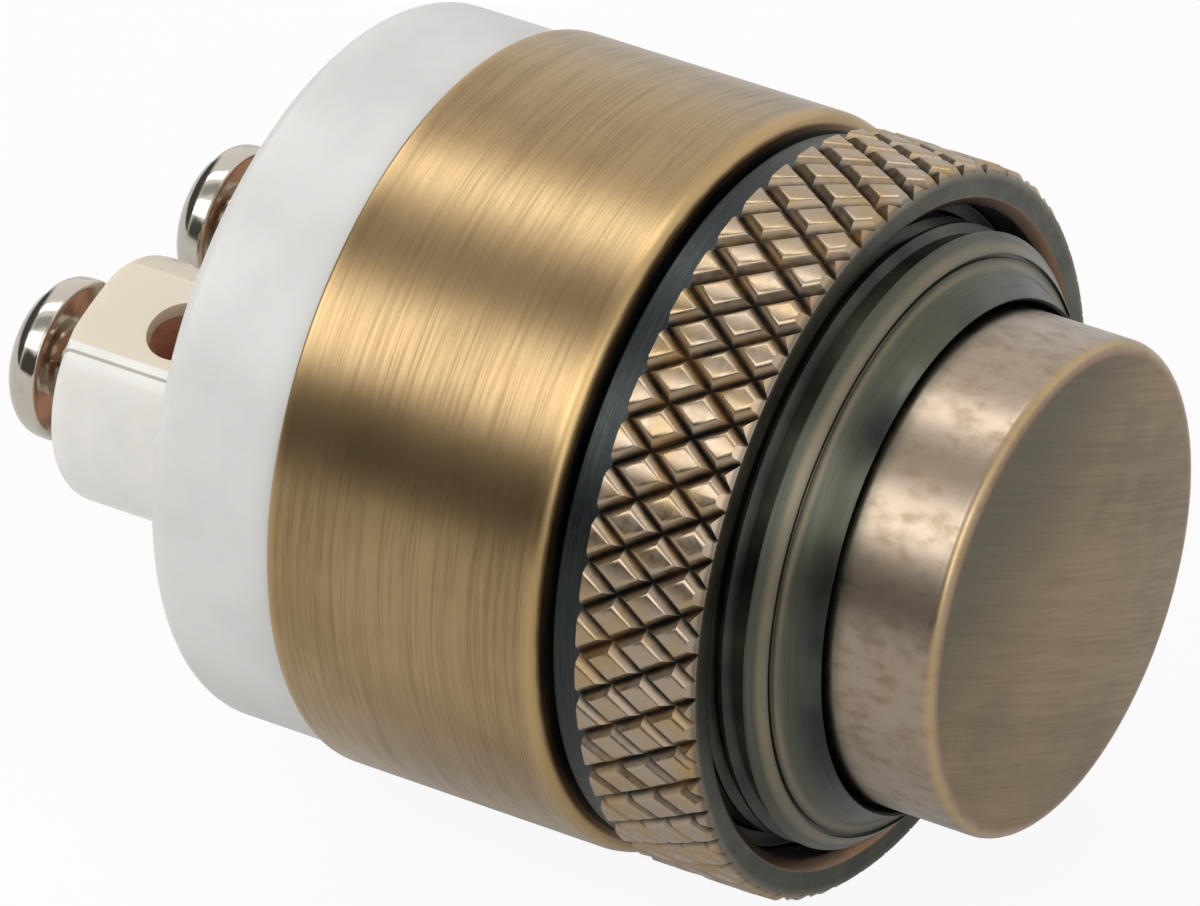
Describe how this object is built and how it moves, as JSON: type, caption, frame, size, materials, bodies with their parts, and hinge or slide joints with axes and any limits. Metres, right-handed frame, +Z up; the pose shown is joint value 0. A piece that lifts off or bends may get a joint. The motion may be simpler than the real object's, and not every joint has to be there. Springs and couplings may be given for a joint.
{
  "type": "doorbell push button",
  "caption": "Round turned brass doorbell push with a knurled ring nut, sprung domed button, nylon base and two screw terminals.",
  "frame": {"origin": "on the button's axis, in the plane of the plate seat at the front of the barrel", "axes": "-Y forward along the button's axis, out of the plate; +Z up; the two terminal posts lie level along X"},
  "size_m": [0.0254, 0.0374, 0.0254],
  "materials": {
    "antique_brass": "antique brass, brushed round the barrel, dark in the recesses",
    "dark_brass": "antique brass, dark in the grooves and relieved on the knurl's tips",
    "button_brass": "antique brass, brushed straight across the face",
    "white_nylon": "cool white moulded nylon, slightly translucent",
    "ivory_nylon": "ivory moulded nylon, glossy",
    "contact_metal": "bare brass, slightly tarnished",
    "spring_steel": "bright spring steel",
    "nickel_plate": "bright nickel plate"
  },
  "bodies": {
    "housing": {"housing": "antique_brass", "base_cap": "white_nylon", "terminal_block": "ivory_nylon", "terminal_insert_left": "contact_metal", "terminal_insert_right": "contact_metal", "fixed_contact_left": "contact_metal", "fixed_contact_right": "contact_metal", "terminal_screw_left": "nickel_plate", "terminal_screw_right": "nickel_plate", "return_spring": "spring_steel"},
    "button": {"button": "button_brass", "plunger": "white_nylon", "contact_bridge": "contact_metal", "bridge_retainer": "spring_steel"},
    "knurled_ring": {"knurled_ring": "dark_brass"}
  },
  "joints": [
    {"name": "button_press", "type": "slide", "parent": "housing", "child": "button", "axis": [0, 1, 0], "range_m": [0, 0.0018], "stiffness_N_per_m": 700, "springref_m": -0.002, "deforming": ["return_spring"]},
    {"name": "ring_turn", "type": "hinge", "parent": "housing", "child": "knurled_ring", "pos_m": [0, 0, 0], "axis": [0, -1, 0], "continuous": true}
  ]
}
